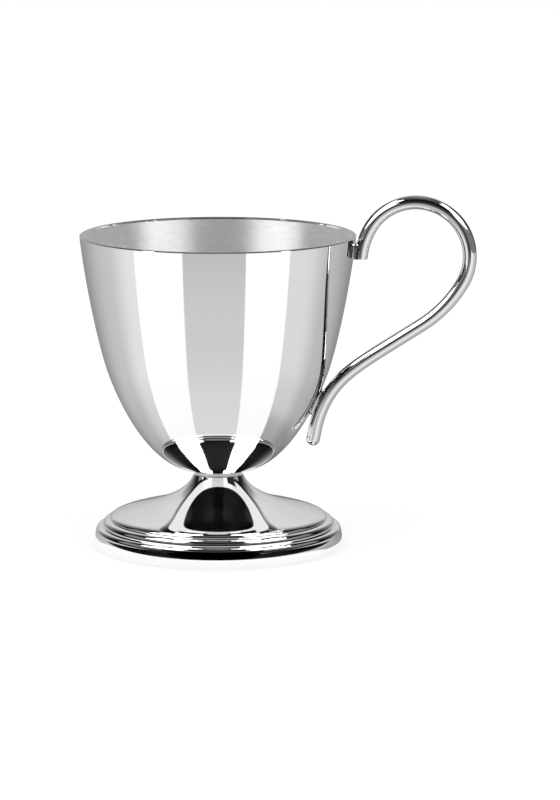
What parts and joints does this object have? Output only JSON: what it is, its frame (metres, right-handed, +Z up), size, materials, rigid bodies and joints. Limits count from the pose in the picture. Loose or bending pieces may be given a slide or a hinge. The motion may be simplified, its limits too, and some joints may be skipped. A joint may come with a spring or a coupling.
{
  "type": "child's mug",
  "caption": "Polished silver child's mug: tall bowl with satin inside, on a low flared foot with a reeded edge, and a round wire handle that loops above the rim.",
  "frame": {"origin": "centre of the space that the mug takes, at table level; the axis of the bowl and the foot stands at x = -15.36 mm", "axes": "+Z up along the axis of the bowl, +X towards the handle"},
  "size_m": [0.1008, 0.07, 0.091],
  "materials": {
    "polished_silver": "mirror polished silver, satin inside the bowl",
    "solder": "polished silver solder"
  },
  "bodies": {
    "root": {"bowl": "polished_silver", "foot": "polished_silver", "collar": "polished_silver", "handle": "polished_silver", "upper_lug": "solder", "lower_solder": "solder"}
  },
  "joints": []
}
